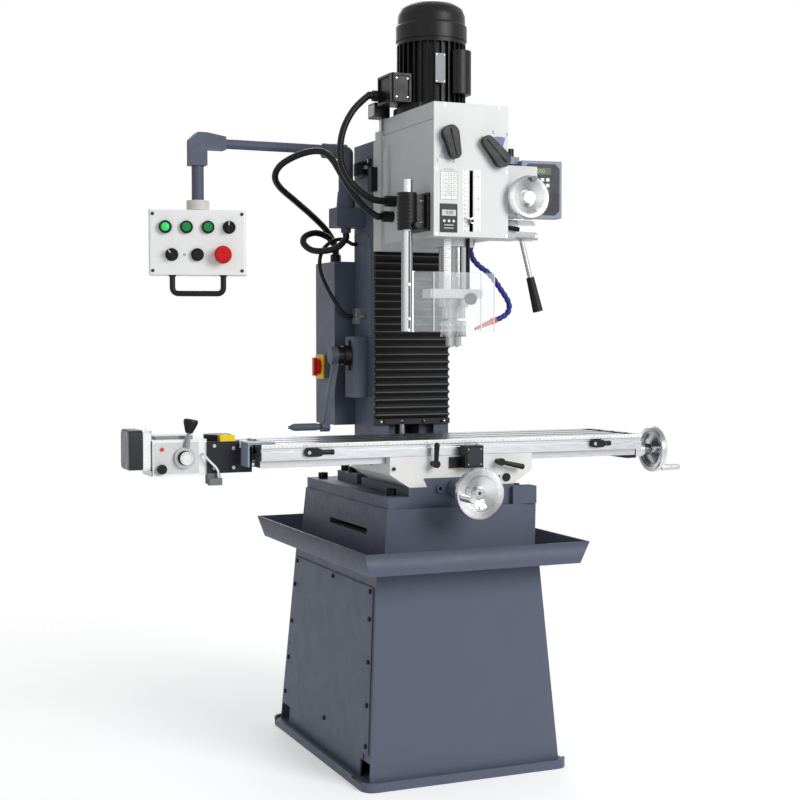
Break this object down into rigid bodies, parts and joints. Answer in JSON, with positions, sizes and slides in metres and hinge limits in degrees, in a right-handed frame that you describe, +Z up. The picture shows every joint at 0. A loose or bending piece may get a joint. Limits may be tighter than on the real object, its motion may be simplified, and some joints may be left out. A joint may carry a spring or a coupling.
{
  "type": "milling drilling machine",
  "caption": "Column milling drilling machine on a cabinet stand with T-slot table, power feed, quill head, chuck guard, swing-arm control pendant and electrical cabinet.",
  "frame": {"origin": "centre of the stand's foot, on the floor", "axes": "+Z up, +X to the operator's right along the table, +Y from the operator towards the column"},
  "size_m": [1.465, 0.9025, 1.8721],
  "materials": {
    "frame_paint": "hammered semi-gloss slate enamel",
    "head_paint": "pale grey enamel over casting",
    "light_casting": "pale grey enamel",
    "light_paint": "off-white powder coat",
    "panel_paint": "satin off-white plate",
    "motor_paint": "black satin paint",
    "black_casting": "dark enamel",
    "machined_iron": "ground iron",
    "bright_steel": "turned steel",
    "ground_steel": "ground and polished",
    "feed_steel": "satin steel with black grip",
    "black_steel": "black oxide",
    "wheel_aluminium": "turned and polished",
    "bellows_rubber": "matt",
    "hose_rubber": "satin ribbed",
    "cable_jacket": "satin",
    "black_plastic": "moulded",
    "white_plastic": "moulded",
    "green_plastic": "moulded",
    "red_plastic": "moulded",
    "readout_plastic": "satin blue-grey",
    "clear_screen": "clear polycarbonate"
  },
  "bodies": {
    "root": {"stand_cabinet": "frame_paint", "stand_side_panel": "frame_paint", "frame_screws": "black_steel", "chip_tray": "frame_paint", "base_casting": "frame_paint", "column": "frame_paint", "z_crank_bracket": "frame_paint", "way_bellows": "bellows_rubber", "limit_switches": "black_plastic", "electrical_cabinet": "frame_paint", "arm_bearing_block": "frame_paint", "readout_arm": "black_casting", "cabinet_conduits": "hose_rubber"},
    "z_screw": {"z_leadscrew": "bright_steel"},
    "z_crank": {"z_crank": "frame_paint"},
    "cabinet_door": {"cabinet_door": "frame_paint"},
    "main_switch": {"main_switch_knob": "red_plastic"},
    "pendant_arm": {"pendant_arm": "frame_paint"},
    "pendant": {"pendant_box": "light_paint"},
    "forward_button": {"forward_button": "green_plastic"},
    "reverse_button": {"reverse_button": "green_plastic"},
    "coolant_button": {"coolant_button": "black_plastic"},
    "mode_selector": {"mode_selector": "black_plastic"},
    "light_selector": {"light_selector": "black_plastic"},
    "emergency_stop": {"emergency_stop": "red_plastic"},
    "saddle": {"saddle": "machined_iron"},
    "table_lock_left": {"table_lock_left": "black_steel"},
    "table_lock_right": {"table_lock_right": "black_steel"},
    "cross_wheel": {"cross_handwheel": "wheel_aluminium"},
    "table": {"milling_table": "machined_iron", "table_fittings": "black_steel", "feed_gearbox": "light_casting", "feed_angle_drive": "black_casting", "feed_cable": "cable_jacket"},
    "table_wheel": {"table_handwheel": "wheel_aluminium"},
    "feed_lever": {"feed_lever": "black_plastic"},
    "feed_dial": {"feed_dial": "white_plastic"},
    "feed_button": {"feed_button": "black_plastic"},
    "head": {"head_slide": "head_paint", "head_casting": "head_paint", "head_lid": "head_paint", "head_panel": "panel_paint", "motor_body": "motor_paint", "motor_covers": "motor_paint", "guard_clamp": "black_plastic", "head_hoses": "hose_rubber"},
    "rotor": {"motor_rotor": "bright_steel"},
    "layshaft": {"gear_shaft": "bright_steel"},
    "gear_sleeve": {"spindle_gear": "bright_steel"},
    "quill": {"quill": "ground_steel", "depth_stop": "light_casting"},
    "spindle": {"spindle": "ground_steel", "drill_chuck": "ground_steel"},
    "quill_feed": {"quill_feed_lever": "feed_steel"},
    "fine_feed": {"fine_feed_wheel": "wheel_aluminium"},
    "quill_lock": {"quill_lock_lever": "black_steel"},
    "speed_left": {"speed_lever_left": "black_plastic"},
    "speed_right": {"speed_lever_right": "black_plastic"},
    "readout": {"digital_readout": "readout_plastic"},
    "guard": {"chip_guard": "clear_screen"}
  },
  "joints": [
    {"name": "cross_wheel_turn", "type": "hinge", "parent": "root", "child": "cross_wheel", "pos_m": [-0.02, -0.4, 0.694], "axis": [0, 1, 0], "range_deg": [-6121, 3241]},
    {"name": "saddle_travel", "type": "slide", "parent": "root", "child": "saddle", "axis": [0, 1, 0], "range_m": [-0.085, 0.045]},
    {"name": "table_wheel_turn", "type": "hinge", "parent": "table", "child": "table_wheel", "pos_m": [0.6, -0.178, 0.7606], "axis": [1, 0, 0], "range_deg": [-20161, 20161]},
    {"name": "table_travel", "type": "slide", "parent": "saddle", "child": "table", "axis": [1, 0, 0], "range_m": [-0.28, 0.28]},
    {"name": "table_lock_left_turn", "type": "hinge", "parent": "saddle", "child": "table_lock_left", "pos_m": [-0.079, -0.314, 0.7546], "axis": [0, 1, 0], "range_deg": [-35, 35]},
    {"name": "table_lock_right_turn", "type": "hinge", "parent": "saddle", "child": "table_lock_right", "pos_m": [0.092, -0.314, 0.7546], "axis": [0, 1, 0], "range_deg": [-60, 15]},
    {"name": "feed_lever_turn", "type": "hinge", "parent": "table", "child": "feed_lever", "pos_m": [-0.658, -0.23, 0.781], "axis": [0, 1, 0], "range_deg": [-40, 20]},
    {"name": "feed_dial_turn", "type": "hinge", "parent": "table", "child": "feed_dial", "pos_m": [-0.658, -0.23, 0.781], "axis": [0, 1, 0], "range_deg": [0, 270]},
    {"name": "feed_button_press", "type": "slide", "parent": "table", "child": "feed_button", "axis": [0, 1, 0], "range_m": [0, 0.004], "stiffness_N_per_m": 400},
    {"name": "crank_turn", "type": "hinge", "parent": "root", "child": "z_crank", "pos_m": [-0.18, 0.072, 1.007], "axis": [1, 0, 0], "range_deg": [-14041, 0]},
    {"name": "z_screw_turn", "type": "hinge", "parent": "root", "child": "z_screw", "pos_m": [0, 0.072, 1.2], "axis": [0, 0, 1], "range_deg": [0, 14041]},
    {"name": "head_travel", "type": "slide", "parent": "root", "child": "head", "axis": [0, 0, 1], "range_m": [-0.195, 0], "deforming": ["way_bellows"]},
    {"name": "quill_feed_turn", "type": "hinge", "parent": "head", "child": "quill_feed", "pos_m": [0.2, -0.194, 1.318], "axis": [1, 0, 0], "range_deg": [-359, 65]},
    {"name": "quill_travel", "type": "slide", "parent": "head", "child": "quill", "axis": [0, 0, 1], "range_m": [-0.018, 0.1]},
    {"name": "motor_spin", "type": "hinge", "parent": "head", "child": "rotor", "pos_m": [0, -0.116, 1.7], "axis": [0, 0, 1], "continuous": true},
    {"name": "layshaft_spin", "type": "hinge", "parent": "head", "child": "layshaft", "pos_m": [0.0345, -0.1776, 1.45], "axis": [0, 0, 1], "continuous": true},
    {"name": "gear_sleeve_spin", "type": "hinge", "parent": "head", "child": "gear_sleeve", "pos_m": [0, -0.246, 1.5], "axis": [0, 0, 1], "continuous": true},
    {"name": "spindle_spin", "type": "hinge", "parent": "quill", "child": "spindle", "pos_m": [0, -0.246, 1.1], "axis": [0, 0, 1], "continuous": true},
    {"name": "fine_feed_turn", "type": "hinge", "parent": "head", "child": "fine_feed", "pos_m": [0.141, -0.35, 1.382], "axis": [0, 1, 0], "continuous": true},
    {"name": "quill_lock_turn", "type": "hinge", "parent": "head", "child": "quill_lock", "pos_m": [0.112, -0.224, 1.326], "axis": [0, 1, 0], "range_deg": [0, 35]},
    {"name": "speed_left_turn", "type": "hinge", "parent": "head", "child": "speed_left", "pos_m": [-0.061, -0.35, 1.522], "axis": [0, 1, 0], "range_deg": [0, 39]},
    {"name": "speed_right_turn", "type": "hinge", "parent": "head", "child": "speed_right", "pos_m": [0.072, -0.35, 1.47], "axis": [0, 1, 0], "range_deg": [0, 58]},
    {"name": "guard_swing", "type": "hinge", "parent": "head", "child": "guard", "pos_m": [-0.145, -0.3, 1.2], "axis": [0, 0, 1], "range_deg": [-100, 0]},
    {"name": "readout_turn", "type": "hinge", "parent": "root", "child": "readout", "pos_m": [0.312, 0.062, 1.5], "axis": [0, 0, 1], "range_deg": [-45, 60]},
    {"name": "arm_swing", "type": "hinge", "parent": "root", "child": "pendant_arm", "pos_m": [-0.147, 0.09, 1.4], "axis": [0, 0, 1], "range_deg": [-75, 10]},
    {"name": "pendant_turn", "type": "hinge", "parent": "pendant_arm", "child": "pendant", "pos_m": [-0.538, 0.09, 1.38], "axis": [0, 0, 1], "range_deg": [-70, 60]},
    {"name": "forward_press", "type": "slide", "parent": "pendant", "child": "forward_button", "axis": [0.2924, 0.9563, 0], "range_m": [0, 0.004], "stiffness_N_per_m": 400},
    {"name": "reverse_press", "type": "slide", "parent": "pendant", "child": "reverse_button", "axis": [0.2924, 0.9563, 0], "range_m": [0, 0.004], "stiffness_N_per_m": 400},
    {"name": "coolant_press", "type": "slide", "parent": "pendant", "child": "coolant_button", "axis": [0.2924, 0.9563, 0], "range_m": [0, 0.004], "stiffness_N_per_m": 400},
    {"name": "emergency_press", "type": "slide", "parent": "pendant", "child": "emergency_stop", "axis": [0.2924, 0.9563, 0], "range_m": [0, 0.004]},
    {"name": "mode_turn", "type": "hinge", "parent": "pendant", "child": "mode_selector", "pos_m": [-0.47752, 0.02445, 1.321], "axis": [0.2924, 0.9563, 0], "range_deg": [-45, 45]},
    {"name": "light_turn", "type": "hinge", "parent": "pendant", "child": "light_selector", "pos_m": [-0.61045, 0.06509, 1.254], "axis": [0.2924, 0.9563, 0], "range_deg": [0, 70]},
    {"name": "main_switch_turn", "type": "hinge", "parent": "root", "child": "main_switch", "pos_m": [-0.19, 0.214, 0.976], "axis": [1, 0, 0], "range_deg": [0, 90]},
    {"name": "cabinet_door_swing", "type": "hinge", "parent": "root", "child": "cabinet_door", "pos_m": [0.165, 0.28, 1], "axis": [0, 0, 1], "range_deg": [-110, 0]}
  ],
  "couplings": [
    {"joint": "cross_wheel_turn", "follows": "saddle_travel", "rad_per_m": 1256.6},
    {"joint": "table_wheel_turn", "follows": "table_travel", "rad_per_m": 1256.6},
    {"joint": "crank_turn", "follows": "head_travel", "rad_per_m": 1256.6},
    {"joint": "z_screw_turn", "follows": "head_travel", "rad_per_m": -1256.6},
    {"joint": "quill_feed_turn", "follows": "quill_travel", "rad_per_m": -62.5},
    {"joint": "layshaft_spin", "follows": "motor_spin", "ratio": -0.5},
    {"joint": "gear_sleeve_spin", "follows": "motor_spin", "ratio": 0.25},
    {"joint": "spindle_spin", "follows": "motor_spin", "ratio": 0.25}
  ]
}
